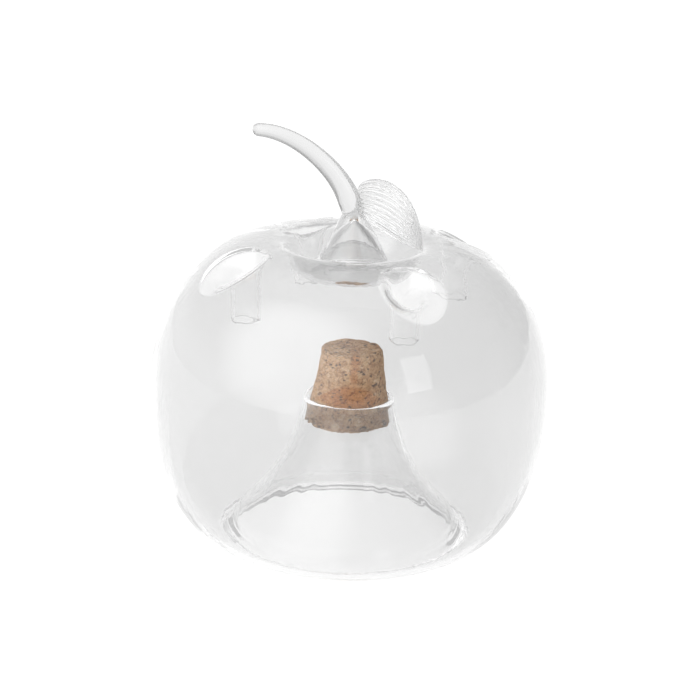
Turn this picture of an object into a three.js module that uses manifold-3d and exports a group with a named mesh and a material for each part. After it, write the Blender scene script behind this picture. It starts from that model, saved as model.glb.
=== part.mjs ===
// A blown glass wasp trap in the shape of an apple, stopped from below with a cork.
// Millimetres, +Z up. The origin is on the apple's axis, on the plane that it stands on,
// and -Y is the front: the stem bends towards -X and the leaf lies over the shoulder at +X.
import * as THREE from "three";
import { ParametricGeometry } from "three/addons/geometries/ParametricGeometry.js";
import * as BufferGeometryUtils from "three/addons/utils/BufferGeometryUtils.js";
import Module from "manifold-3d";

// ---------- driving dimensions ----------
const BODY_RADIUS = 62.8; // at the apple's waist
const WAIST_HEIGHT = 53.7;
const RIDGE_RADIUS = 25; // the shoulder's highest ring, around the crown
const RIDGE_HEIGHT = 98;
const FOOT_RADIUS = 31.2; // where the underside would meet the resting plane
const LOWER_BULGE = [2.3, 2.38]; // superellipse powers below the waist
const UPPER_BULGE = [2.23, 1.81]; // and above it
const WALL = 1.8; // blown wall
const GAP = 0.3; // between pieces that are fused on the real trap

// Profile lines are cubics: four [radius, height] points, of which the middle two steer.
const CROWN_FLOOR_HEIGHT = 89.2;
const CONE_TIP = [4.2, 106]; // of the little hollow cone that the stem stands on
const CONE_LINE = [CONE_TIP, [7.5, 99], [11, 90.2], [14, CROWN_FLOOR_HEIGHT]];
const CROWN_LINE = [
  [14, CROWN_FLOOR_HEIGHT],
  [20, CROWN_FLOOR_HEIGHT],
  [17.5, RIDGE_HEIGHT],
  [RIDGE_RADIUS, RIDGE_HEIGHT],
];
const CONE_TIP_THICKNESS = 2.2;

const BASE_SPLIT_RADIUS = 41; // the body ends here and the folded base begins
const CONTACT_INNER = 35.6; // the flat ring that the trap stands on
const CONTACT_OUTER = 38.4;
const NECK_TOP = [14.05, 45.4];
const BELL_LINE = [[34, 9.3], [24.2, 18], [16.5, 31.6], NECK_TOP]; // on the chamber side
const BELL_WALL = 2.1;
const NECK_WALL = 1.5;
const MOAT_DEEPEST = [39.5, 2.3];
const MOAT_LINE = [MOAT_DEEPEST, [36.4, 2.3], [36.2, 7.3], BELL_LINE[0]];
const FOOT_STEER = [[35, 5.3], [34.2, 0.6]]; // between the bell's inside and the contact ring
const RIM_BEAD = 0.85; // radius of the bead around the neck's mouth

// Degrees from the front, towards +X: the glassblower set them a quarter turn apart by eye.
const ENTRY_TURNS = { front_right: 26.5, rear_right: 116.5, rear_left: 204.5, front_left: 296.5 };
const ENTRY_LIP_RADIUS = 10.6;
const ENTRY_LIP_OFFSET = 40.3; // lip centre from the apple's axis
const ENTRY_HOLE_RADIUS = 11.5; // cut in the body for the lip
const ENTRY_TUBE_OFFSET = 35.8; // tube axis from the apple's axis
const ENTRY_TUBE_RADIUS = 3.9; // middle of the wall
const ENTRY_TUBE_TOP = 84.5;
const ENTRY_TUBE_END = 76.2;
const ENTRY_WALL = 1.2;
const ENTRY_FLARE_SHARE = 0.72; // of the section's steps, the rest are the straight tube
const ENTRY_LEAD = 0.42; // how far the lip's slope and the tube's axis steer the flare

const STEM_LINE = [[-0.7, 0, 106.9], [-2, 0, 117.5], [-17.5, 0, 133.4], [-32.2, 0, 132]];
const STEM_ROOT_RADIUS = 3.9;
const STEM_TIP_RADIUS = 2.1;
const STEM_ROUND_FROM = 0.95; // share of its length where the tip starts to round
const STEM_END_FLATNESS = 0.75; // 1 would close the tip to a point

const LEAF_THICKNESS = 2.2;
const LEAF_CROWNING = 1.6; // how far the blade bulges between its edges
// The leaf's two edges, each a cubic from the stem's root to the tip on the ridge.
const LEAF_UPPER_EDGE = [
  [2.6, 1.5, 113.8],
  [7, 2, 120.4],
  [19.5, -5, 119.6],
  [21.3, -13.2, 99.4],
];
const LEAF_LOWER_EDGE = [
  [4, -4, 107.4],
  [7.5, -7.5, 104],
  [14.5, -13, 101.2],
  [20.8, -13.8, 99.2],
];

const CORK_BOTTOM = 39.1;
const CORK_TOP = 63.2;
const CORK_BOTTOM_RADIUS = 13.1;
const CORK_TOP_RADIUS = 9.7;
const CORK_BEVEL = 0.5;

const RING_SIDES = 40;
const SMALL_SIDES = 20;
const STEM_SIDES = 12;
const STEM_STEPS = 18;
const LEAF_SIDES = 16;
const LEAF_STEPS = 12;
const ENTRY_STEPS = 9;
const CROWN_STEPS = 6;
const BULGE_STEPS = 9;
const BELL_STEPS = 9;
const FOLD_STEPS = 5;

// ---------- materials ----------
function glass(color) {
  return new THREE.MeshStandardMaterial({
    color,
    roughness: 0.03,
    metalness: 0,
    transparent: true,
    opacity: 0.35,
  });
}

function cork() {
  return new THREE.MeshStandardMaterial({ color: 0xb99a7c, roughness: 0.9, metalness: 0 });
}

// ---------- solids ----------
const wasm = await Module();
wasm.setup();

// Merges shared vertices and drops the slivers that a closed pole leaves behind.
function welded(geometry) {
  geometry.deleteAttribute("normal");
  geometry.deleteAttribute("uv");
  const merged = BufferGeometryUtils.mergeVertices(geometry, 1e-4);
  const corners = merged.index.array;
  const kept = [];
  for (let i = 0; i < corners.length; i += 3) {
    const [a, b, c] = [corners[i], corners[i + 1], corners[i + 2]];
    if (a !== b && b !== c && c !== a) kept.push(a, b, c);
  }
  merged.setIndex(kept);
  return facingOut(merged);
}

// Turns every face over if the closed surface encloses a negative volume.
function facingOut(geometry) {
  const corners = geometry.index.array;
  const place = geometry.attributes.position;
  const [a, b, c] = [new THREE.Vector3(), new THREE.Vector3(), new THREE.Vector3()];
  let volume = 0;
  for (let i = 0; i < corners.length; i += 3) {
    a.fromBufferAttribute(place, corners[i]);
    b.fromBufferAttribute(place, corners[i + 1]);
    c.fromBufferAttribute(place, corners[i + 2]);
    volume += a.dot(b.cross(c));
  }
  if (volume < 0) {
    const turned = Array.from(corners).reverse();
    geometry.setIndex(turned);
  }
  geometry.computeVertexNormals();
  return geometry;
}

function toManifold(geometry) {
  return new wasm.Manifold(
    new wasm.Mesh({
      numProp: 3,
      vertProperties: new Float32Array(geometry.attributes.position.array),
      triVerts: new Uint32Array(geometry.index.array),
    }),
  );
}

function fromManifold(solid) {
  const mesh = solid.getMesh();
  const geometry = new THREE.BufferGeometry();
  geometry.setAttribute("position", new THREE.BufferAttribute(mesh.vertProperties, 3));
  geometry.setIndex(Array.from(mesh.triVerts));
  geometry.computeVertexNormals();
  return geometry;
}

// A solid of revolution about Z from [radius, height] pairs.
function turned(profile, sides) {
  const points = profile.map(([r, z]) => new THREE.Vector2(r, z));
  const geometry = new THREE.LatheGeometry(points, sides);
  geometry.rotateX(Math.PI / 2);
  return welded(geometry);
}

// ---------- profile curves: lists of [radius, height] ----------
function cubic(line, steps) {
  const flat = line.map(([r, z]) => new THREE.Vector2(r, z));
  return new THREE.CubicBezierCurve(...flat).getPoints(steps).map((p) => [p.x, p.y]);
}

// The same in space, from [x, y, z] points.
function cubicInSpace(line) {
  return new THREE.CubicBezierCurve3(...line.map((p) => new THREE.Vector3(...p)));
}

// Moves each point of a curve sideways, to the right of its direction of travel.
function offset(curve, distanceAt) {
  return curve.map(([r, z], i) => {
    const before = curve[Math.max(i - 1, 0)];
    const after = curve[Math.min(i + 1, curve.length - 1)];
    const [dr, dz] = [after[0] - before[0], after[1] - before[1]];
    const length = Math.hypot(dr, dz);
    const distance = distanceAt(i / (curve.length - 1));
    return [r + (dz / length) * distance, z - (dr / length) * distance];
  });
}

function undersideHeight(radius) {
  const [across, down] = LOWER_BULGE;
  const share = (radius - FOOT_RADIUS) / (BODY_RADIUS - FOOT_RADIUS);
  return WAIST_HEIGHT * (1 - (1 - share ** across) ** (1 / down));
}

function shoulderHeight(radius) {
  const [across, up] = UPPER_BULGE;
  const share = Math.max(radius - RIDGE_RADIUS, 0) / (BODY_RADIUS - RIDGE_RADIUS);
  return WAIST_HEIGHT + (RIDGE_HEIGHT - WAIST_HEIGHT) * (1 - share ** across) ** (1 / up);
}

// Points of the outline between two angles: 0 at its narrow end, a quarter turn at the waist.
function bulge(from, to, narrowRadius, power, heightAt) {
  const points = [];
  for (let i = 1; i <= BULGE_STEPS; i++) {
    const angle = THREE.MathUtils.lerp(from, to, i / BULGE_STEPS);
    const share = Math.sin(angle) ** (2 / power);
    const radius = Math.min(THREE.MathUtils.lerp(narrowRadius, BODY_RADIUS, share), BODY_RADIUS);
    points.push([radius, heightAt(radius)]);
  }
  return points;
}

// Outside of the apple from the tip of the crown's cone, over the ridge, to the base.
function bodyOutside() {
  const cone = cubic(CONE_LINE, CROWN_STEPS);
  const crown = cubic(CROWN_LINE, CROWN_STEPS);
  const waist = Math.PI / 2;
  const shoulder = bulge(0, waist, RIDGE_RADIUS, UPPER_BULGE[0], shoulderHeight);
  const endShare = (BASE_SPLIT_RADIUS + GAP - FOOT_RADIUS) / (BODY_RADIUS - FOOT_RADIUS);
  const endAngle = Math.asin(endShare ** (LOWER_BULGE[0] / 2));
  const bowl = bulge(waist, endAngle, FOOT_RADIUS, LOWER_BULGE[0], undersideHeight);
  return [...cone, ...crown.slice(1), ...shoulder, ...bowl];
}

// ---------- sub-parts ----------
// The point at a distance from the axis, in the direction turned from the front towards +X.
function around(turn, distance, height) {
  return new THREE.Vector3(distance * Math.sin(turn), -distance * Math.cos(turn), height);
}

function appleBody() {
  const outside = bodyOutside();
  // Moved in by the wall, the line's first points would cross the axis and are left out.
  const inside = offset(outside, () => WALL).filter(([r]) => r > CONE_TIP[0] / 2);
  // The cut edge beside the base is upright, so that it keeps its gap all round.
  const last = inside.length - 1;
  inside[last] = [outside[outside.length - 1][0], inside[last][1]];
  const shell = turned(
    [
      [0, CONE_TIP[1]],
      ...outside,
      ...inside.reverse(),
      [0, CONE_TIP[1] - CONE_TIP_THICKNESS],
    ],
    RING_SIDES,
  );
  let solid = toManifold(shell);
  for (const degrees of Object.values(ENTRY_TURNS)) {
    const r = ENTRY_HOLE_RADIUS;
    const cutter = new THREE.CylinderGeometry(r, r, BODY_RADIUS, SMALL_SIDES);
    cutter.rotateX(Math.PI / 2);
    const centre = around(THREE.MathUtils.degToRad(degrees), ENTRY_LIP_OFFSET, RIDGE_HEIGHT);
    cutter.translate(centre.x, centre.y, centre.z);
    solid = solid.subtract(toManifold(welded(cutter)));
  }
  return fromManifold(solid);
}

// Contact ring, moat floor, and the bell that rises inside the apple to the neck.
function baseFunnel() {
  const bell = cubic(BELL_LINE, BELL_STEPS);
  const moat = cubic(MOAT_LINE, FOLD_STEPS);
  const inside = offset(bell, (t) => -THREE.MathUtils.lerp(BELL_WALL, NECK_WALL, t));
  inside[inside.length - 1][1] = NECK_TOP[1];
  const foot = cubic([inside[0], ...FOOT_STEER, [CONTACT_INNER, 0]], FOLD_STEPS);
  const edge = undersideHeight(BASE_SPLIT_RADIUS);
  const profile = [
    [CONTACT_OUTER, 0],
    [BASE_SPLIT_RADIUS, edge],
    [BASE_SPLIT_RADIUS, edge + WALL],
    ...moat,
    ...bell.slice(1),
    ...inside.reverse(),
    ...foot.slice(1),
    [CONTACT_OUTER, 0],
  ];
  return turned(profile, RING_SIDES);
}

// The fire-polished bead stands clear above the middle of the neck's wall.
function neckRim() {
  const sides = 8;
  const radius = NECK_TOP[0] - NECK_WALL + RIM_BEAD;
  const ring = new THREE.TorusGeometry(radius, RIM_BEAD, sides, RING_SIDES);
  ring.translate(0, 0, NECK_TOP[1] + GAP + RIM_BEAD);
  return welded(ring);
}

// One way in: a lip that lies in the shoulder, drawn down into a short upright tube.
function entryFunnel(degrees) {
  const turn = THREE.MathUtils.degToRad(degrees);
  const lipCentre = around(turn, ENTRY_LIP_OFFSET, 0);
  const tubeCentre = around(turn, ENTRY_TUBE_OFFSET, 0);
  const up = new THREE.Vector3(0, 0, 1);

  function shoulderPoint(place) {
    const radius = Math.hypot(place.x, place.y);
    const step = 0.1;
    const rise = shoulderHeight(radius + step) - shoulderHeight(radius - step);
    const slope = rise / (2 * step);
    const depth = (WALL / 2) * Math.hypot(1, slope);
    return { height: shoulderHeight(radius) - depth, slope };
  }

  // Middle of the wall, and its direction, at share t of the way from lip to tube end.
  function wallLine(outward, t) {
    const lip = lipCentre.clone().addScaledVector(outward, ENTRY_LIP_RADIUS);
    const on = shoulderPoint(lip);
    const top = tubeCentre.clone().addScaledVector(outward, ENTRY_TUBE_RADIUS);
    top.z = ENTRY_TUBE_TOP;
    if (t > ENTRY_FLARE_SHARE) {
      const down = (t - ENTRY_FLARE_SHARE) / (1 - ENTRY_FLARE_SHARE);
      const height = THREE.MathUtils.lerp(ENTRY_TUBE_TOP, ENTRY_TUBE_END, down);
      return { place: top.clone().setZ(height), along: up.clone().negate() };
    }
    const radial = lip.clone().setZ(0).normalize();
    const inward = top.clone().sub(lip).setZ(0).normalize();
    inward.z = on.slope * inward.dot(radial);
    inward.normalize();
    lip.z = on.height;
    const lead = lip.distanceTo(top) * ENTRY_LEAD;
    const curve = new THREE.CubicBezierCurve3(
      lip,
      lip.clone().addScaledVector(inward, lead),
      top.clone().addScaledVector(up, lead),
      top,
    );
    const s = t / ENTRY_FLARE_SHARE;
    return { place: curve.getPoint(s), along: curve.getTangent(s) };
  }

  // The section runs down one side of the wall and back up the other.
  const steps = ENTRY_STEPS;
  function surface(u, v, target) {
    const angle = 2 * Math.PI * u;
    const outward = new THREE.Vector3(Math.cos(angle), Math.sin(angle), 0);
    const sideways = new THREE.Vector3(-outward.y, outward.x, 0);
    const loop = (v * 2 * steps) % (2 * steps);
    const onTop = loop < steps;
    const row = onTop ? loop : 2 * steps - 1 - loop;
    const t = THREE.MathUtils.clamp(row / (steps - 1), 0, 1);
    const { place, along } = wallLine(outward, t);
    const normal = sideways.cross(along).normalize();
    const thinned = Math.min(t / ENTRY_FLARE_SHARE, 1);
    const thickness = THREE.MathUtils.lerp(WALL, ENTRY_WALL, thinned);
    target.copy(place).addScaledVector(normal, ((onTop ? 1 : -1) * thickness) / 2);
  }
  return welded(new ParametricGeometry(surface, SMALL_SIDES, 2 * steps));
}

// A closed rod about a curve, with a radius for each share of its length and round or flat ends.
function rod(curve, radiusAt, sides, steps) {
  const side = new THREE.Vector3(0, 1, 0);
  function surface(u, v, target) {
    const angle = 2 * Math.PI * u;
    const row = Math.round(v * (steps + 2)) - 1;
    const share = THREE.MathUtils.clamp(row / steps, 0, 1);
    const radius = row < 0 || row > steps ? 0 : radiusAt(share);
    const other = curve.getTangent(share).cross(side).normalize();
    target.copy(curve.getPoint(share));
    target.addScaledVector(side, radius * Math.cos(angle));
    target.addScaledVector(other, radius * Math.sin(angle));
  }
  return welded(new ParametricGeometry(surface, sides, steps + 2));
}

function stem() {
  function radiusAt(share) {
    const taper = THREE.MathUtils.lerp(STEM_ROOT_RADIUS, STEM_TIP_RADIUS, share);
    const into = Math.max(share - STEM_ROUND_FROM, 0) / (1 - STEM_ROUND_FROM);
    return taper * Math.sqrt(1 - STEM_END_FLATNESS * into ** 2);
  }
  return rod(cubicInSpace(STEM_LINE), radiusAt, STEM_SIDES, STEM_STEPS);
}

// A pressed leaf that springs from the stem's root and bends down onto the ridge.
function leaf() {
  const edges = [LEAF_UPPER_EDGE, LEAF_LOWER_EDGE].map(cubicInSpace);
  const steps = LEAF_STEPS;
  function surface(u, v, target) {
    const angle = 2 * Math.PI * u;
    const row = Math.round(v * (steps + 2)) - 1;
    const share = THREE.MathUtils.clamp(row / steps, 0, 1);
    const [upper, lower] = edges.map((edge) => edge.getPoint(share));
    const across = upper.clone().sub(lower).multiplyScalar(0.5);
    const along = edges[0].getTangent(share).add(edges[1].getTangent(share));
    const normal = across.clone().cross(along).normalize();
    const open = row < 0 || row > steps ? 0 : 1;
    const bulge = LEAF_CROWNING * Math.sin(Math.PI * share) * Math.sin(angle) ** 2;
    target.copy(upper).add(lower).multiplyScalar(0.5);
    target.addScaledVector(across, open * Math.cos(angle));
    target.addScaledVector(normal, (open * LEAF_THICKNESS * Math.sin(angle)) / 2 + open * bulge);
  }
  return welded(new ParametricGeometry(surface, LEAF_SIDES, steps + 2));
}

function corkStopper() {
  const profile = [
    [0, CORK_BOTTOM],
    [CORK_BOTTOM_RADIUS - CORK_BEVEL, CORK_BOTTOM],
    [CORK_BOTTOM_RADIUS, CORK_BOTTOM + CORK_BEVEL],
    [CORK_TOP_RADIUS, CORK_TOP - CORK_BEVEL],
    [CORK_TOP_RADIUS - CORK_BEVEL, CORK_TOP],
    [0, CORK_TOP],
  ];
  return turned(profile, RING_SIDES);
}

// ---------- assembly ----------
const group = new THREE.Group();

function place(name, geometry, material) {
  const mesh = new THREE.Mesh(geometry, material);
  mesh.name = name;
  group.add(mesh);
}

place("apple_body", appleBody(), glass(0xe6e8ea));
place("base_funnel", baseFunnel(), glass(0xe2e5e7));
place("neck_rim", neckRim(), glass(0xe8eaeb));
for (const [where, degrees] of Object.entries(ENTRY_TURNS)) {
  place(`entry_funnel_${where}`, entryFunnel(degrees), glass(0xdfe2e5));
}
place("stem", stem(), glass(0xd9dcdf));
place("leaf", leaf(), glass(0xdcdfe2));
place("cork_stopper", corkStopper(), cork());

export default group;
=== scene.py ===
"""A blown glass wasp trap in the shape of an apple, with a cork pushed in from below.

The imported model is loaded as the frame. The glass is then made again as fine skins: the
outer skin faces the open air and runs down the four entry tubes and up the bell, and the
inner skin faces the chamber. Both are made whole, so that light bends through them as it
does through one vessel, and are then shared out to one open-edged piece for each node.
The leaf and the cork are closed meshes of their own.
Lengths below are in millimetres, and each mesh is scaled to metres as it is made.
"""
import math

import bmesh
import bpy
import numpy as np
from mathutils import Matrix, Vector, noise
from mathutils.geometry import delaunay_2d_cdt


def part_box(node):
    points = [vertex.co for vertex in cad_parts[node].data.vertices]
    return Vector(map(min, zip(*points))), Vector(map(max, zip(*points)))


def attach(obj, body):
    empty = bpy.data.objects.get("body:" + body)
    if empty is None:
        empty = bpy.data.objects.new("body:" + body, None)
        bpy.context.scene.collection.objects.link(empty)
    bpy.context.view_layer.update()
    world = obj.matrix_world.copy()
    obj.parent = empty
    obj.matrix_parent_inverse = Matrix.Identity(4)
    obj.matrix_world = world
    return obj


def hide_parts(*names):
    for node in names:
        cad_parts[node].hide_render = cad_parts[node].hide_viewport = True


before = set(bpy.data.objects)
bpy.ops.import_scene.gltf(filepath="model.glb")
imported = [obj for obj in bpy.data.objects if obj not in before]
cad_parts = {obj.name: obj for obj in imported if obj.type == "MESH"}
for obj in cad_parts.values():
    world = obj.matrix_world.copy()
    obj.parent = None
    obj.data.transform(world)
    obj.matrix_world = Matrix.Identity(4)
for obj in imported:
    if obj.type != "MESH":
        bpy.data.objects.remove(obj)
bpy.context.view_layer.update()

MM = 0.001

# ---------- driving dimensions, in millimetres ----------
BODY_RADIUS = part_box("apple_body")[1].x / MM
WAIST_HEIGHT = 53.7
RIDGE_RADIUS = 25
RIDGE_HEIGHT = 98
FOOT_RADIUS = 31.2
LOWER_BULGE = (2.3, 2.38)  # superellipse powers below the waist
UPPER_BULGE = (2.23, 1.81)  # and above it
WALL = 1.7

CROWN_FLOOR = (14, 89.2)
CONE_TIP = (4.2, 106)
CONE_WALL = 1.0
CONE_HOLLOW_TOP = 104.7
CONE_HOLLOW_STEER = (4.0, 100.9)

CONTACT_RADIUS = 37
MOAT_FLOOR = 2.2
BELL_FOOT = (34, 9.3)
BELL_WALL = 2.1
MOAT_RADIUS = 41  # where the moat's floor meets the bowl
NECK_TOP = (14.05, 45.4)
NECK_WALL = 1.5
BEAD = 0.85
BEAD_CENTRE = (13.4, 46.55)

# Degrees from the front, towards +X.
ENTRY_TURNS = {
    "front_right": 26.5,
    "rear_right": 116.5,
    "rear_left": 204.5,
    "front_left": 296.5,
}
LIP_RADIUS = 10.6
LIP_OFFSET = 40.3
TUBE_OFFSET = 35.8
BORE_RADIUS = 3.3
TUBE_WALL = 1.2
TUBE_TOP = 84.5
TUBE_END = 76.2

STEM_CURVE = ((-0.7, 0, 106.9), (-2, 0, 117.5), (-17.5, 0, 133.4), (-32.2, 0, 132))
STEM_ROOT_RADIUS = 3.9
STEM_TIP_RADIUS = 2.1

LEAF_UPPER_EDGE = ((0.2, 0.6, 115.4), (6, 2.4, 120.2), (19.5, -5, 119.6), (21.3, -13.2, 99.4))
LEAF_LOWER_EDGE = ((0.6, -2.2, 106.6), (6, -7, 104.4), (14.5, -13, 101.2), (20.8, -13.8, 99.2))
LEAF_THICKNESS = 2.2
LEAF_CROWNING = 1.6
LEAF_RIDGES = 10
LEAF_RIDGE_HEIGHT = 0.32

CORK_LOW, CORK_HIGH = (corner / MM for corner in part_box("cork_stopper"))
CORK_TOP_RADIUS = 9.7
CORK_LEAN = 0.8  # how far its top leans towards +X
GRANULE_SEED = 7  # noise_vector starts from the clock unless it is seeded

# The shoulder's ring between these radii is pierced by the entries.
PIERCED_FROM = 26.5
PIERCED_TO = 53.5
SHOULDER_SPACING = 1.05  # between its points
LIP_CLEARANCE = 0.75  # and from them to a lip

# Unevenness of hand-worked glass, as shifts in millimetres.
BROAD_WAVES = 0.16
FINE_WAVES = 0.05
WAVE_SINK = 0.12  # draws the walls in, so that few waves pass the outline
TUBE_END_WAVES = (0.3, 0.16)

# Cork granules, all in millimetres.
COARSE_GRANULE = 2.4
FINE_GRANULE = 0.85
CORK_BEVEL = 0.5
ARCH_HEIGHT = 6.5
STREAK_X = 0.9
STREAK_FROM = 53
CRUMBLED_EDGE = 1.8

AROUND_CROWN = 144
AROUND_BODY = 288
AROUND_ENTRY = 96
AROUND_LEAF = 220
AROUND_CORK = 340

# ---------- light and glass ----------
GLASS_BOUNCES = 40  # light crosses many walls, and runs a long way inside the thick fold
GLASS_GLOW = 0.014  # a faint glow that makes up for light still lost in the folds
SKY_LEVELS = ((0.0, 1.0), (0.12, 1.0), (0.3, 0.7), (0.6, 0.6), (1.0, 0.9))
DULL_SIDE = 0.4  # of the sky towards +X
CARD_DIRECTION = (0.05, -0.94, 0.34)
CARD_LEVEL = 0.3
CARD_EDGE = (10, 7)  # degrees from its middle, from clear to full
KEY_DIRECTION = (-0.55, -0.6, 0.6)
KEY_LEVEL = 2.0
KEY_EDGE = (50, 12)
FLOOR_DROP = 0.036  # the cork comes out downwards, and stays in view above the floor
FLOOR_LEVEL = 1.03
FLOOR_FAR_RIGHT = 0.9
FLOOR_LEFT_EXTRA = 0.13

# ---------- curves ----------
def bezier(points, steps):
    """Points along a cubic, ends included."""
    t = np.linspace(0, 1, steps + 1)[:, None]
    a, b, c, d = (np.array(p, float) for p in points)
    return a * (1 - t) ** 3 + 3 * b * t * (1 - t) ** 2 + 3 * c * t**2 * (1 - t) + d * t**3


def bezier_along(points, steps):
    """Unit tangents of the same cubic at the same places."""
    t = np.linspace(0, 1, steps + 1)[:, None]
    a, b, c, d = (np.array(p, float) for p in points)
    along = (b - a) * (1 - t) ** 2 + 2 * (c - b) * t * (1 - t) + (d - c) * t**2
    return along / np.linalg.norm(along, axis=1, keepdims=True)


def inwards(curve, depth):
    """Moves a profile of [radius, height] rows to the right of its direction of travel."""
    along = np.gradient(curve, axis=0)
    along /= np.linalg.norm(along, axis=1, keepdims=True)
    depth = np.broadcast_to(depth, len(curve))
    return curve + np.stack([along[:, 1], -along[:, 0]], axis=1) * depth[:, None]


def ease(x):
    x = np.clip(x, 0, 1)
    return x * x * (3 - 2 * x)


def body_curve(angle):
    """The apple's outline: 0 at the ridge, a quarter turn at the waist, a half turn at the foot."""
    angle = np.asarray(angle, float)
    upper = angle <= math.pi / 2
    across = np.where(upper, UPPER_BULGE[0], LOWER_BULGE[0])
    centre = np.where(upper, RIDGE_RADIUS, FOOT_RADIUS)
    share = np.abs(np.sin(angle)) ** (2 / across)
    radius = centre + (BODY_RADIUS - centre) * share
    rise = np.abs(np.cos(angle)) ** (2 / np.where(upper, UPPER_BULGE[1], LOWER_BULGE[1]))
    up = WAIST_HEIGHT + (RIDGE_HEIGHT - WAIST_HEIGHT) * rise
    return np.stack([radius, np.where(upper, up, WAIST_HEIGHT * (1 - rise))], axis=-1)


def shoulder_angle(radius):
    share = (np.asarray(radius, float) - RIDGE_RADIUS) / (BODY_RADIUS - RIDGE_RADIUS)
    return np.arcsin(np.clip(share, 0, 1) ** (UPPER_BULGE[0] / 2))


def bowl_angle(radius):
    share = (radius - FOOT_RADIUS) / (BODY_RADIUS - FOOT_RADIUS)
    return math.pi - math.asin(share ** (LOWER_BULGE[0] / 2))


def body_along(angle):
    """Unit direction of travel down the outline."""
    step = 1e-4
    along = body_curve(np.asarray(angle) + step) - body_curve(np.asarray(angle) - step)
    return along / np.linalg.norm(along, axis=-1, keepdims=True)


def body_point(angle, depth):
    along = body_along(angle)
    inward = np.stack([along[..., 1], -along[..., 0]], axis=-1)
    return body_curve(angle) + inward * depth


# ---------- the vessel's skins ----------
class Skins:
    """Patches of the vessel's surface, each with the node it belongs to and the side it faces."""

    def __init__(self):
        self.points = []
        self.faces = []
        self.owners = []
        self.inside = []
        self.count = 0

    def add(self, points, faces, owner, inside):
        points = np.asarray(points, float).reshape(-1, 3)
        self.points.append(points)
        self.inside.append(np.full(len(points), inside))
        self.faces += [[i + self.count for i in face] for face in faces]
        self.owners += [owner] * len(faces)
        self.count += len(points)

    def grid(self, rows, owner, inside, closed_end=False):
        """Rows of points that each run once round; the last may close on one point."""
        rows = np.asarray(rows, float)
        steps, around = rows.shape[:2]
        faces = []
        for i in range(steps - 1):
            for j in range(around):
                k = (j + 1) % around
                a, b = i * around, (i + 1) * around
                if closed_end and i == steps - 2:
                    faces.append((a + j, a + k, b))
                else:
                    faces.append((a + j, a + k, b + k, b + j))
        self.add(rows, faces, owner, inside)


def ring(radius, height, sides, centre=(0, 0)):
    turn = np.arange(sides) * 2 * math.pi / sides
    height = np.broadcast_to(height, sides)
    return np.stack(
        [centre[0] + radius * np.cos(turn), centre[1] + radius * np.sin(turn), height], axis=1
    )


def turned(profile, sides):
    return np.array([ring(radius, height, sides) for radius, height in profile])


def cone_and_crown(steps):
    z = CROWN_FLOOR[1]
    cone = bezier((CONE_TIP, (7.5, 99), (11, z + 1), CROWN_FLOOR), steps)
    rise = bezier((CROWN_FLOOR, (20, z), (17.5, RIDGE_HEIGHT), (RIDGE_RADIUS, RIDGE_HEIGHT)), steps)
    return cone, rise


def add_crown(skins):
    """The hollow cone under the stem, and the sunken crown up to the ridge."""
    steps = 28
    cone, rise = cone_and_crown(steps)
    outer = np.concatenate([cone, rise[1:]])
    ridge = shoulder_angle(np.array([RIDGE_RADIUS + 0.7, PIERCED_FROM]))
    skins.grid(
        turned(np.concatenate([outer, body_curve(ridge)]), AROUND_CROWN), "apple_body", False
    )
    share = np.linspace(0, 1, len(outer))
    inner = inwards(outer, CONE_WALL + (WALL - CONE_WALL) * ease(share * 1.6))
    inner[-1] = (RIDGE_RADIUS, RIDGE_HEIGHT - WALL)
    # The hollow runs to a point under the stem, where the glass is thick.
    start = 17
    tip = inner[start]
    slope = inner[start] - inner[start + 1]
    slope *= 3.5 / np.linalg.norm(slope)
    apex = bezier(((0.02, CONE_HOLLOW_TOP), CONE_HOLLOW_STEER, tip + slope, tip), 20)
    profile = np.concatenate([apex, inner[start + 1 :], body_point(ridge, WALL)])
    rows = turned(profile[::-1], AROUND_CROWN)
    rows[-1] = (0, 0, CONE_HOLLOW_TOP)
    skins.grid(rows, "apple_body", True, closed_end=True)


def entry_centre(turn, distance):
    return np.array([distance * math.sin(turn), -distance * math.cos(turn)])


def on_shoulder(plan, depth):
    """Points of the shoulder above plan positions, moved in from the outer skin by a depth."""
    plan = np.asarray(plan, float)
    radius = np.linalg.norm(plan, axis=-1)
    moved = body_point(shoulder_angle(radius), depth)
    return np.concatenate([plan * (moved[..., :1] / radius[..., None]), moved[..., 1:]], axis=-1)


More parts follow.
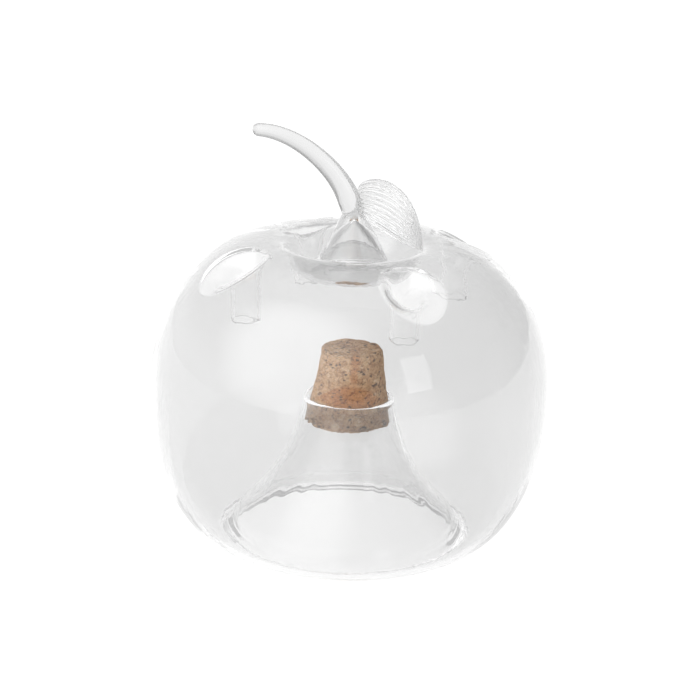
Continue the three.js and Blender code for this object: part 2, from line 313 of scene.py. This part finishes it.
def add_shoulder(skins):
    """The shoulder's ring with its four round holes, as triangles between evenly spread points."""
    plan = []
    edges = []

    def loop(points):
        first = len(plan)
        plan.extend(points[:, :2].tolist())
        n = len(points)
        edges.extend((first + i, first + (i + 1) % n) for i in range(n))

    loop(ring(PIERCED_FROM, 0, AROUND_CROWN))
    loop(ring(PIERCED_TO, 0, AROUND_BODY))
    centres = [entry_centre(math.radians(t), LIP_OFFSET) for t in ENTRY_TURNS.values()]
    for centre in centres:
        loop(ring(LIP_RADIUS, 0, AROUND_ENTRY, centre))
    rings = round((PIERCED_TO - PIERCED_FROM) / SHOULDER_SPACING)
    for i in range(1, rings):
        radius = PIERCED_FROM + (PIERCED_TO - PIERCED_FROM) * i / rings
        sides = round(2 * math.pi * radius / SHOULDER_SPACING)
        for x, y, _ in ring(radius, 0, sides):
            if all(math.dist((x, y), c) > LIP_RADIUS + LIP_CLEARANCE for c in centres):
                plan.append([x, y])
    made, _, faces, origins, *_ = delaunay_2d_cdt(
        [Vector(p) for p in plan], edges, [], 0, 1e-6, True
    )
    made = np.array([plan[origin[0]] for origin in origins])

    # A triangle with all three corners on one of the circles lies inside that circle.
    circles = [((0, 0), PIERCED_FROM)] + [(centre, LIP_RADIUS) for centre in centres]

    def kept(face):
        corners = made[list(face)]
        for centre, radius in circles:
            away = np.abs(np.linalg.norm(corners - centre, axis=1) - radius)
            if away.max() < 1e-3:
                return False
        return True

    faces = [tuple(face) for face in faces if kept(face)]
    skins.add(on_shoulder(made, 0), faces, "apple_body", False)
    skins.add(on_shoulder(made, WALL), faces, "apple_body", True)


def add_bowl(skins):
    """From the shoulder over the waist to the foot, with the fold, the bell and the neck."""
    steps = 56
    angles = np.linspace(shoulder_angle(PIERCED_TO), bowl_angle(MOAT_RADIUS), steps)
    outer = body_curve(angles)
    skins.grid(turned(outer, AROUND_BODY), "apple_body", False)
    skins.grid(turned(body_point(angles, WALL), AROUND_BODY), "apple_body", True)

    # Outer skin: the underside, the contact ring, up inside the bell to the neck's mouth.
    end = angles[-1]
    start = body_curve(end)
    along = body_along(end)
    foot = bezier((start, start + along * 1.6, (CONTACT_RADIUS + 1.6, 0), (CONTACT_RADIUS, 0)), 24)
    bell_line = (BELL_FOOT, (24.2, 18), (16.5, 31.6), NECK_TOP)
    bell_steps = 44
    bell = bezier(bell_line, bell_steps)
    bell_heading = bezier_along(bell_line, bell_steps)[0]
    bell_inside = inwards(bell, -np.linspace(BELL_WALL, NECK_WALL, bell_steps + 1))
    bell_inside[-1] = (NECK_TOP[0] - NECK_WALL, NECK_TOP[1])
    turn_up = bezier(
        (
            (CONTACT_RADIUS, 0),
            (CONTACT_RADIUS - 2.6, 0),
            bell_inside[0] - bell_heading * 3.6,
            bell_inside[0],
        ),
        64,
    )
    under = np.concatenate([foot, turn_up[1:], bell_inside[1:]])
    skins.grid(turned(under, AROUND_BODY), "base_funnel", False)

    # Inner skin: the moat's floor and the outside of the bell.
    wall_end = body_point(end, WALL)
    deepest = np.array((CONTACT_RADIUS + 2.5, MOAT_FLOOR))
    floor = bezier((wall_end, wall_end + along * 0.4, deepest + (0.4, 0), deepest), 12)
    rise = bezier((deepest, deepest - (3.1, 0), BELL_FOOT - bell_heading * 3, BELL_FOOT), 64)
    inner = np.concatenate([floor, rise[1:], bell[1:]])
    skins.grid(turned(inner, AROUND_BODY), "base_funnel", True)

    # The bead joins the two.
    arc = np.radians(np.linspace(180, -42, 22))
    bead = np.stack(
        [BEAD_CENTRE[0] + BEAD * np.cos(arc), BEAD_CENTRE[1] + BEAD * np.sin(arc)], axis=1
    )
    rim = np.concatenate([bell_inside[-1:], bead, [NECK_TOP]])
    skins.grid(turned(rim, AROUND_BODY), "neck_rim", True)


def add_entry(skins, name, degrees):
    """A lip in the shoulder that is drawn down into a short upright tube."""
    turn = math.radians(degrees)
    lip_plan = ring(LIP_RADIUS, 0, AROUND_ENTRY, entry_centre(turn, LIP_OFFSET))[:, :2]
    lip = on_shoulder(lip_plan, 0)
    centre = entry_centre(turn, TUBE_OFFSET)
    top = ring(BORE_RADIUS, TUBE_TOP, AROUND_ENTRY, centre)

    # At the lip the wall leaves along the shoulder's own slope.
    heading = top - lip
    heading[:, 2] = 0
    travel = np.linalg.norm(heading, axis=1, keepdims=True)
    heading /= travel
    radius = np.linalg.norm(lip_plan, axis=1, keepdims=True)
    along = body_along(shoulder_angle(radius[:, 0]))
    outward = (heading[:, :2] * lip_plan / radius).sum(axis=1)
    heading[:, 2] = outward * along[:, 1] / along[:, 0]
    heading /= np.linalg.norm(heading, axis=1, keepdims=True)
    reach = np.linalg.norm(top - lip, axis=1, keepdims=True)
    first = lip + heading * np.minimum(reach * 0.42, travel * 0.8)
    second = top + np.array([0, 0, 1]) * reach * 0.42

    flare_steps = 70
    t = np.linspace(0, 1, flare_steps + 1)[:, None, None]
    flare = lip * (1 - t) ** 3 + 3 * first * t * (1 - t) ** 2
    flare = flare + 3 * second * t**2 * (1 - t) + top * t**3
    edge = TUBE_WALL / 2
    heights = np.linspace(TUBE_TOP, TUBE_END + edge, 9)[1:]
    tube = np.array([ring(BORE_RADIUS, z, AROUND_ENTRY, centre) for z in heights])
    outer = np.concatenate([flare, tube])

    across = np.roll(outer, -1, axis=1) - np.roll(outer, 1, axis=1)
    down = np.gradient(outer, axis=0)
    normal = np.cross(across, down)
    normal /= np.linalg.norm(normal, axis=2, keepdims=True)
    share = np.linspace(0, 1, len(outer))
    wall = WALL + (TUBE_WALL - WALL) * ease(share * 1.5)
    inner = outer + normal * wall[:, None, None] * math.copysign(1, -normal[0, 0, 2])
    inner[0] = on_shoulder(lip_plan, WALL)

    # The tube's end is fire polished but uneven.
    arc = np.linspace(math.pi, 2 * math.pi, 9)
    end = [
        ring(
            BORE_RADIUS + edge + edge * math.cos(a),
            TUBE_END + edge + edge * math.sin(a),
            AROUND_ENTRY,
            centre,
        )
        for a in arc
    ]
    inner[-1] = end[-1]
    rows = np.concatenate([outer, end[1:], inner[-2::-1]])
    low = ease((TUBE_END + 3 - rows[..., 2]) / 3)
    spin = np.arctan2(rows[..., 1] - centre[1], rows[..., 0] - centre[0])
    broad, fine = TUBE_END_WAVES
    uneven = broad * np.sin(2 * spin + turn * 3) + fine * np.sin(5 * spin + turn * 7)
    rows[..., 2] += low * uneven
    inside = np.zeros(rows.shape[:2], bool)
    inside[len(outer) + len(arc) // 2 :] = True
    skins.grid(rows, f"entry_funnel_{name}", False)
    skins.inside[-1] = inside.reshape(-1)


def stem_rows():
    """Rings from the cone's tip along the stem to its rounded end."""
    steps = 90
    centres = bezier(STEM_CURVE, steps)
    along = bezier_along(STEM_CURVE, steps)
    share = np.linspace(0, 1, steps + 1)
    tip = np.array([0, 0, CONE_TIP[1]])
    settle = ease(share / 0.14)[:, None]
    centres = centres + (tip - centres[0]) * (1 - settle)
    along = along * settle + np.array([0, 0, 1]) * (1 - settle)
    along /= np.linalg.norm(along, axis=1, keepdims=True)
    length = np.concatenate([[0], np.cumsum(np.linalg.norm(np.diff(centres, axis=0), axis=1))])
    radius = STEM_ROOT_RADIUS + (STEM_TIP_RADIUS - STEM_ROOT_RADIUS) * share
    root_flare = 0.64
    radius += (CONE_TIP[0] - STEM_ROOT_RADIUS) * np.exp(-length / root_flare)
    end = np.clip((length - length[-1] + STEM_TIP_RADIUS) / STEM_TIP_RADIUS, 0, 1)
    radius *= np.sqrt(np.clip(1 - end**2, 0, 1))
    turn = np.arange(AROUND_CROWN) * 2 * math.pi / AROUND_CROWN
    side = np.array([0, 1, 0])
    other = np.cross(side, along)
    rows = centres[:, None, :] + radius[:, None, None] * (
        other[:, None, :] * np.cos(turn)[None, :, None] + side * np.sin(turn)[None, :, None]
    )
    return rows


def add_stem(skins):
    rows = stem_rows()
    rows[0] = ring(*CONE_TIP, AROUND_CROWN)
    skins.grid(rows, "stem", False, closed_end=True)


def blown(points, normals, inside):
    """The unevenness that blowing and turning leave in the glass, as a shift along the normal."""
    radius = np.linalg.norm(points[:, :2], axis=1)
    spin = np.arctan2(points[:, 1], points[:, 0])
    height = points[:, 2]
    shift = np.zeros(len(points))
    for i, (x, y, z) in enumerate(points):
        phase = 7.0 if inside[i] else 0.0
        broad = noise.noise(Vector((x / 24 + phase, y / 24, z / 34)))
        fine = noise.noise(Vector((spin[i] * 7 + phase, radius[i] / 30, z / 26)))
        shift[i] = BROAD_WAVES * broad + FINE_WAVES * fine
    calm = ease((height - 4) / 22) * ease(radius / 12)
    shift = (shift - WAVE_SINK) * calm
    return points + normals * shift[:, None]


def vessel():
    """All the blown glass as one closed surface, shared out to the nodes with its normals."""
    skins = Skins()
    add_crown(skins)
    add_shoulder(skins)
    add_bowl(skins)
    for name, degrees in ENTRY_TURNS.items():
        add_entry(skins, name, degrees)
    add_stem(skins)
    points = np.concatenate(skins.points)
    inside = np.concatenate(skins.inside)
    _, first, index = np.unique(
        np.round(points, 3), axis=0, return_index=True, return_inverse=True
    )
    index = index.reshape(-1)
    points = points[first]
    inside = inside[first]
    owners = sorted(set(skins.owners))
    whole = bmesh.new()
    verts = [whole.verts.new(p) for p in points]
    for face, owner in zip(skins.faces, skins.owners):
        corners = []
        for i in face:
            if index[i] not in corners:
                corners.append(index[i])
        if len(corners) > 2:
            made = whole.faces.new([verts[i] for i in corners])
            made.material_index = owners.index(owner)
    bmesh.ops.recalc_face_normals(whole, faces=whole.faces)
    whole.normal_update()
    normals = np.array([v.normal for v in whole.verts])
    for vert, place in zip(whole.verts, blown(points, normals, inside)):
        vert.co = place
    whole.normal_update()
    places = np.array([v.co for v in whole.verts])
    normals = np.array([v.normal for v in whole.verts])
    whole.verts.index_update()
    pieces = {}
    for i, owner in enumerate(owners):
        faces = [[v.index for v in f.verts] for f in whole.faces if f.material_index == i]
        used = sorted({v for face in faces for v in face})
        place = {v: n for n, v in enumerate(used)}
        mesh = bpy.data.meshes.new(f"glass_{owner}")
        mesh.from_pydata(
            [tuple(places[v] * MM) for v in used],
            [],
            [[place[v] for v in face] for face in faces],
        )
        mesh.polygons.foreach_set("use_smooth", [True] * len(mesh.polygons))
        mesh.normals_split_custom_set_from_vertices([tuple(normals[v]) for v in used])
        piece = bpy.data.objects.new(f"glass_{owner}", mesh)
        bpy.context.collection.objects.link(piece)
        pieces[owner] = piece
    whole.free()
    return pieces


# ---------- closed solids ----------
def solid(name, points, faces):
    mesh = bpy.data.meshes.new(name)
    mesh.from_pydata([tuple(p * MM) for p in np.asarray(points, float)], [], faces)
    shape = bmesh.new()
    shape.from_mesh(mesh)
    bmesh.ops.remove_doubles(shape, verts=shape.verts, dist=1e-7)
    bmesh.ops.recalc_face_normals(shape, faces=shape.faces)
    shape.to_mesh(mesh)
    shape.free()
    mesh.polygons.foreach_set("use_smooth", [True] * len(mesh.polygons))
    piece = bpy.data.objects.new(name, mesh)
    bpy.context.collection.objects.link(piece)
    return piece


def closed_grid(rows):
    """Faces for rows that run once round, where the first and the last row are single places."""
    steps, around = rows.shape[:2]
    faces = []
    for i in range(steps - 1):
        for j in range(around):
            k = (j + 1) % around
            a, b = i * around, (i + 1) * around
            if i == 0:
                faces.append((a, b + k, b + j))
            elif i == steps - 2:
                faces.append((a + j, a + k, b))
            else:
                faces.append((a + j, a + k, b + k, b + j))
    return faces


def leaf():
    """The pressed leaf: lofted between its two edges, with ridges that run along it."""
    steps = 110
    around = AROUND_LEAF
    upper = bezier(LEAF_UPPER_EDGE, steps)
    lower = bezier(LEAF_LOWER_EDGE, steps)
    along = bezier_along(LEAF_UPPER_EDGE, steps) + bezier_along(LEAF_LOWER_EDGE, steps)
    share = np.linspace(0, 1, steps + 1)[:, None]
    angle = (np.arange(around) * 2 * math.pi / around)[None, :]
    across = (upper - lower) / 2
    normal = np.cross(across, along)
    normal /= np.linalg.norm(normal, axis=1, keepdims=True)
    side = np.cos(angle)
    face = np.sin(angle)
    end = np.sqrt(np.clip(1 - (2 * share - 1) ** 14, 0, 1))
    bulge = LEAF_CROWNING * np.sin(math.pi * share) * face**2
    ridge = np.abs(np.sin(math.pi * LEAF_RIDGES * (side + 0.15 * share) / 2))
    ridge = LEAF_RIDGE_HEIGHT * (1 - 2 * ridge) * np.abs(face) ** 0.5
    fade = ease(share / 0.1) * ease((1 - share) / 0.05)
    lift = LEAF_THICKNESS * face / 2 + bulge + ridge * fade * np.sign(face)
    rows = (upper + lower)[:, None, :] / 2
    rows = rows + across[:, None, :] * (side * end)[..., None]
    rows = rows + normal[:, None, :] * (lift * end)[..., None]
    return solid("glass_leaf", rows.reshape(-1, 3), closed_grid(rows))


def granules(at, border_width):
    """How far a place is from its granule's border, from 0 to 1, and the granule's own number."""
    at = at + 0.3 * noise.noise_vector(at * 1.3)
    near, cells = noise.voronoi(at, distance_metric="DISTANCE")
    return min((near[1] - near[0]) / border_width, 1), abs(noise.cell(cells[0] * 31.7)) % 1


def cork():
    """Pressed granules: low borders, a few lost granules, and a crumbled lower edge."""
    noise.seed_set(GRANULE_SEED)
    around = AROUND_CORK
    low, high = CORK_LOW.z, CORK_HIGH.z
    wide = CORK_HIGH.x
    bevel = CORK_BEVEL
    profile = [(wide * i / 34, low) for i in range(34)]
    profile += [(wide - bevel * 0.7, low), (wide - bevel * 0.2, low + bevel * 0.2)]
    profile += [(wide, low + bevel)]
    rows_up = 100
    slope = (CORK_TOP_RADIUS - wide) / (high - low)
    for i in range(1, rows_up):
        z = low + bevel + (high - low - 2 * bevel) * i / rows_up
        profile.append((wide + slope * (z - low), z))
    top = CORK_TOP_RADIUS
    profile += [(top, high - bevel), (top - bevel * 0.2, high - bevel * 0.2)]
    profile += [(top - bevel * 0.7, high)]
    profile += [(top * (1 - i / 28), high) for i in range(2, 29)]
    rows = turned(profile, around)
    points = rows.reshape(-1, 3)
    piece = solid("cork", points, closed_grid(rows))
    mesh = piece.data
    mesh.attributes.new("granule", "FLOAT_COLOR", "POINT")
    mesh.attributes.new("front_darkening", "FLOAT", "POINT")
    tone = mesh.attributes["granule"]
    front_darkening = mesh.attributes["front_darkening"]
    normals = [vert.normal.copy() for vert in mesh.vertices]
    places = [vert.co.copy() for vert in mesh.vertices]
    rim = BEAD_CENTRE[1] + BEAD
    for i, start in enumerate(places):
        place = start / MM
        # Granules lie flat, a little longer round the cork than up it.
        flat = Vector((place.x, place.y, place.z * 1.5))
        coarse, coarse_pick = granules(flat / COARSE_GRANULE, 0.10)
        fine, fine_pick = granules(flat / FINE_GRANULE + Vector((9, 3, 5)), 0.16)
        pit = 1.0 if fine_pick > 0.94 else 0.0
        lost = 1.0 if coarse_pick > 0.965 else 0.0
        rough = noise.noise(flat * 1.1)
        depth = 0.16 * (1 - coarse) + 0.08 * (1 - fine)
        depth = depth + 0.22 * pit * fine + 0.3 * lost * coarse
        depth += 0.16 * abs(rough)
        crumbs = max(noise.noise(Vector((place.x / 1.9, place.y / 1.9, 4.7))) + 0.12, 0)
        edge = max(1 - (place.z - low) / CRUMBLED_EDGE, 0)
        edge = edge * min(math.hypot(place.x, place.y) / wide, 1) ** 6
        depth += 1.3 * crumbs * edge
        places[i] = start - normals[i] * (depth * MM)
        # Blue marks the pits and lost granules, which the material paints near black as painted
        # shade in their holes.
        tone.data[i].color = (
            0.55 * coarse_pick + 0.45 * fine_pick,
            coarse * (0.45 + 0.55 * fine),
            max(pit, 0.6 * lost),
            1,
        )
        # Above the rim the front of the cork is made darker and warmer in an arch, and one darker
        # streak runs down from its top.
        front = max(-place.y / wide, 0)
        arch = (place.z - rim) / (ARCH_HEIGHT * max(1 - (place.x / 11) ** 2, 0.05))
        arch_darkening = front * ease(4 * min(arch + 0.25, 1.1 - arch))
        streak = ease(1.6 - abs(place.x - STREAK_X - 0.4 * rough))
        streak = streak * ease((place.z - STREAK_FROM) / 3) * front
        front_darkening.data[i].value = float(min(arch_darkening + 0.9 * streak, 1))
    lean = Matrix.Shear("XY", 4, (CORK_LEAN / (high - low), 0))
    base = Vector((0, 0, low * MM))
    for vert, place in zip(mesh.vertices, places):
        vert.co = base + lean @ (place - base)
    mesh.update()
    return piece


# ---------- materials ----------
def new_material(name):
    material = bpy.data.materials.new(name)
    material.use_nodes = True
    tree = material.node_tree
    shader = next(n for n in tree.nodes if n.type == "BSDF_PRINCIPLED")
    return material, tree, shader


def glass_material(name, tint_and_shade, bend, roughness, ripple, scale):
    """Clear glass with the faint ripples that turning in the flame leaves."""
    material, tree, shader = new_material(name)
    # The base colour's grey is partly the glass's own and partly painted shade.
    shader.inputs["Base Color"].default_value = (tint_and_shade, tint_and_shade, tint_and_shade, 1)
    shader.inputs["Roughness"].default_value = roughness
    shader.inputs["IOR"].default_value = bend
    shader.inputs["Transmission Weight"].default_value = 1
    shader.inputs["Emission Color"].default_value = (1, 1, 1, 1)
    shader.inputs["Emission Strength"].default_value = GLASS_GLOW
    place = tree.nodes.new("ShaderNodeTexCoord")
    stretch = tree.nodes.new("ShaderNodeMapping")
    stretch.inputs["Scale"].default_value = scale
    waves = tree.nodes.new("ShaderNodeTexNoise")
    waves.inputs["Scale"].default_value = 1
    waves.inputs["Detail"].default_value = 1.5
    bump = tree.nodes.new("ShaderNodeBump")
    bump.inputs["Strength"].default_value = ripple
    bump.inputs["Distance"].default_value = 0.0003
    tree.links.new(place.outputs["Object"], stretch.inputs["Vector"])
    tree.links.new(stretch.outputs["Vector"], waves.inputs["Vector"])
    tree.links.new(waves.outputs["Fac"], bump.inputs["Height"])
    tree.links.new(bump.outputs["Normal"], shader.inputs["Normal"])
    return material


def ramp(tree, source, stops):
    node = tree.nodes.new("ShaderNodeValToRGB")
    elements = node.color_ramp.elements
    while len(elements) < len(stops):
        elements.new(0.5)
    for element, (position, colour) in zip(elements, stops):
        element.position = position
        element.color = (*colour, 1)
    tree.links.new(source, node.inputs["Fac"])
    return node.outputs["Color"]


def mix(tree, factor, first, second, blend="MIX"):
    node = tree.nodes.new("ShaderNodeMix")
    node.data_type = "RGBA"
    node.blend_type = blend
    if isinstance(factor, float):
        node.inputs["Factor"].default_value = factor
    else:
        tree.links.new(factor, node.inputs["Factor"])
    for socket, value in ((node.inputs[6], first), (node.inputs[7], second)):
        if isinstance(value, tuple):
            socket.default_value = (*value, 1)
        else:
            tree.links.new(value, socket)
    return node.outputs[2]


def cork_material():
    material, tree, shader = new_material("cork")
    granule = tree.nodes.new("ShaderNodeAttribute")
    granule.attribute_name = "granule"
    parts = tree.nodes.new("ShaderNodeSeparateColor")
    tree.links.new(granule.outputs["Color"], parts.inputs["Color"])
    tones = ramp(
        tree,
        parts.outputs["Red"],
        [
            (0.0, (0.46, 0.23, 0.10)),
            (0.3, (0.68, 0.39, 0.19)),
            (0.7, (0.80, 0.51, 0.28)),
            (1.0, (0.92, 0.69, 0.46)),
        ],
    )
    place = tree.nodes.new("ShaderNodeTexCoord")
    speckle = tree.nodes.new("ShaderNodeTexNoise")
    speckle.inputs["Scale"].default_value = 1500
    speckle.inputs["Detail"].default_value = 4
    tree.links.new(place.outputs["Object"], speckle.inputs["Vector"])
    shade = ramp(tree, speckle.outputs["Fac"], [(0.3, (0.7, 0.66, 0.6)), (0.62, (1, 1, 1))])
    colour = mix(tree, 0.75, tones, shade, "MULTIPLY")
    borders = ramp(tree, parts.outputs["Green"], [(0.0, (0.34, 0.22, 0.14)), (0.6, (1, 1, 1))])
    colour = mix(tree, 0.95, colour, borders, "MULTIPLY")
    front_darkening = tree.nodes.new("ShaderNodeAttribute")
    front_darkening.attribute_name = "front_darkening"
    # The front arch and streak are made darker and warmer.
    darkened = mix(tree, 1.0, colour, (0.86, 0.58, 0.34), "MULTIPLY")
    colour = mix(tree, front_darkening.outputs["Fac"], colour, darkened)
    # Painted shade: the pits and lost granules are darkened to near black, as if shaded in their
    # holes.
    colour = mix(tree, parts.outputs["Blue"], colour, (0.15, 0.075, 0.035))
    tree.links.new(colour, shader.inputs["Base Color"])
    shader.inputs["Roughness"].default_value = 0.85
    bump = tree.nodes.new("ShaderNodeBump")
    bump.inputs["Strength"].default_value = 0.6
    bump.inputs["Distance"].default_value = 0.0003
    tree.links.new(speckle.outputs["Fac"], bump.inputs["Height"])
    tree.links.new(bump.outputs["Normal"], shader.inputs["Normal"])
    return material


def give(piece, material):
    piece.data.materials.clear()
    piece.data.materials.append(material)


# ---------- stage, light and camera ----------
def stage():
    """A pale floor lit by its own glow, so that it takes no shadow. It lies below the trap."""
    shape = bmesh.new()
    bmesh.ops.create_circle(shape, cap_ends=True, segments=96, radius=6)
    mesh = bpy.data.meshes.new("floor")
    shape.to_mesh(mesh)
    shape.free()
    floor = bpy.data.objects.new("floor", mesh)
    floor.location.z = -FLOOR_DROP
    bpy.context.collection.objects.link(floor)
    material, _, shader = new_material("floor")
    shader.inputs["Base Color"].default_value = (0.04, 0.04, 0.04, 1)
    shader.inputs["Roughness"].default_value = 1
    shader.inputs["Specular IOR Level"].default_value = 0
    shader.inputs["Emission Color"].default_value = (1, 1, 1, 1)
    tree = material.node_tree
    place = tree.nodes.new("ShaderNodeTexCoord")
    parts = tree.nodes.new("ShaderNodeSeparateXYZ")
    tree.links.new(place.outputs["Object"], parts.inputs["Vector"])
    left = map_range(tree, parts.outputs["X"], -0.12, 0.12, FLOOR_LEFT_EXTRA, 0)
    right = map_range(tree, parts.outputs["X"], 0.2, 1.0, FLOOR_LEVEL, FLOOR_FAR_RIGHT)
    level = tree.nodes.new("ShaderNodeMath")
    tree.links.new(left, level.inputs[0])
    tree.links.new(right, level.inputs[1])
    tree.links.new(level.outputs[0], shader.inputs["Emission Strength"])
    give(floor, material)


def map_range(tree, source, start, end, first, last):
    node = tree.nodes.new("ShaderNodeMapRange")
    node.interpolation_type = "SMOOTHSTEP"
    tree.links.new(source, node.inputs["Value"])
    for socket, value in zip(node.inputs[1:5], (start, end, first, last)):
        socket.default_value = value
    return node.outputs["Result"]


def lobe(tree, place, direction, edge, first, last):
    """A level that changes from first to last as a direction comes near a given one."""
    node = tree.nodes.new("ShaderNodeVectorMath")
    node.operation = "DOT_PRODUCT"
    tree.links.new(place.outputs["Generated"], node.inputs[0])
    node.inputs[1].default_value = Vector(direction).normalized()
    start, end = (math.cos(math.radians(degrees)) for degrees in edge)
    return map_range(tree, node.outputs["Value"], start, end, first, last)


def sky():
    """A pale studio, duller overhead and towards +X, with one grey card and one broad lamp."""
    world = bpy.data.worlds.new("studio")
    world.use_nodes = True
    bpy.context.scene.world = world
    tree = world.node_tree
    background = tree.nodes["Background"]
    place = tree.nodes.new("ShaderNodeTexCoord")
    parts = tree.nodes.new("ShaderNodeSeparateXYZ")
    tree.links.new(place.outputs["Generated"], parts.inputs["Vector"])
    colour = ramp(tree, parts.outputs["Z"], [(z, (g, g, g)) for z, g in SKY_LEVELS])
    side = map_range(tree, parts.outputs["X"], 0.1, 0.8, 1, DULL_SIDE)
    dark = lobe(tree, place, CARD_DIRECTION, CARD_EDGE, 1, CARD_LEVEL)
    both = tree.nodes.new("ShaderNodeMath")
    both.operation = "MULTIPLY"
    tree.links.new(side, both.inputs[0])
    tree.links.new(dark, both.inputs[1])
    level = tree.nodes.new("ShaderNodeCombineXYZ")
    for socket in level.inputs:
        tree.links.new(both.outputs[0], socket)
    room = mix(tree, 1.0, colour, level.outputs[0], "MULTIPLY")
    glow = lobe(tree, place, KEY_DIRECTION, KEY_EDGE, 0, KEY_LEVEL)
    key = tree.nodes.new("ShaderNodeCombineXYZ")
    for socket in key.inputs:
        tree.links.new(glow, socket)
    tree.links.new(mix(tree, 1.0, room, key.outputs[0], "ADD"), background.inputs["Color"])


def softbox(name, place, size, power):
    light = bpy.data.lights.new(name, "AREA")
    light.shape = "RECTANGLE"
    light.size, light.size_y = size
    light.energy = power
    lamp = bpy.data.objects.new(name, light)
    lamp.location = place
    aim = Vector((0, 0, 0.06)) - Vector(place)
    lamp.rotation_mode = "QUATERNION"
    lamp.rotation_quaternion = aim.to_track_quat("-Z", "Y")
    bpy.context.collection.objects.link(lamp)


def camera():
    data = bpy.data.cameras.new("camera")
    data.sensor_width = 36
    data.lens = 114.6
    data.clip_start = 0.05
    seen = bpy.data.objects.new("camera", data)
    elevation = math.radians(18)
    distance = 0.7
    centre_height = 0.066
    seen.location = (
        0,
        -distance * math.cos(elevation),
        centre_height + distance * math.sin(elevation),
    )
    aim = Vector((0, 0, 0.06235)) - seen.location
    roll = Matrix.Rotation(math.radians(1.9), 3, "Z")
    seen.rotation_mode = "QUATERNION"
    seen.rotation_quaternion = (aim.to_track_quat("-Z", "Y").to_matrix() @ roll).to_quaternion()
    bpy.context.collection.objects.link(seen)
    bpy.context.scene.camera = seen


# ---------- assembly ----------
camera()
stage()
sky()
softbox("light_right", (0.8, -0.9, 0.6), (0.35, 0.5), 0.7)
bpy.context.scene.view_settings.view_transform = "Standard"
bpy.context.scene.cycles.max_bounces = GLASS_BOUNCES
bpy.context.scene.cycles.transmission_bounces = GLASS_BOUNCES
bpy.context.scene.cycles.glossy_bounces = GLASS_BOUNCES

# Each grey is partly the glass's own grey, deeper in the thick solid parts, and partly painted
# shade: the same glass is darker or lighter part by part.
body_glass = glass_material("body_glass", 0.8, 1.47, 0.0, 0.12, (260, 260, 60))
bell_glass = glass_material("bell_glass", 0.9, 1.47, 0.03, 0.05, (260, 260, 120))
tube_glass = glass_material("tube_glass", 0.97, 1.47, 0.03, 0.05, (260, 260, 120))
solid_glass = glass_material("solid_glass", 0.74, 1.47, 0.02, 0.1, (180, 180, 180))
node_glass = {"stem": solid_glass, "apple_body": body_glass, "base_funnel": bell_glass}
for node, piece in vessel().items():
    give(piece, node_glass.get(node, tube_glass))
    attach(piece, "vessel")
    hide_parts(node)

blade = leaf()
give(blade, solid_glass)
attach(blade, "vessel")
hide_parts("leaf")

stopper = cork()
give(stopper, cork_material())
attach(stopper, "cork")
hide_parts("cork_stopper")
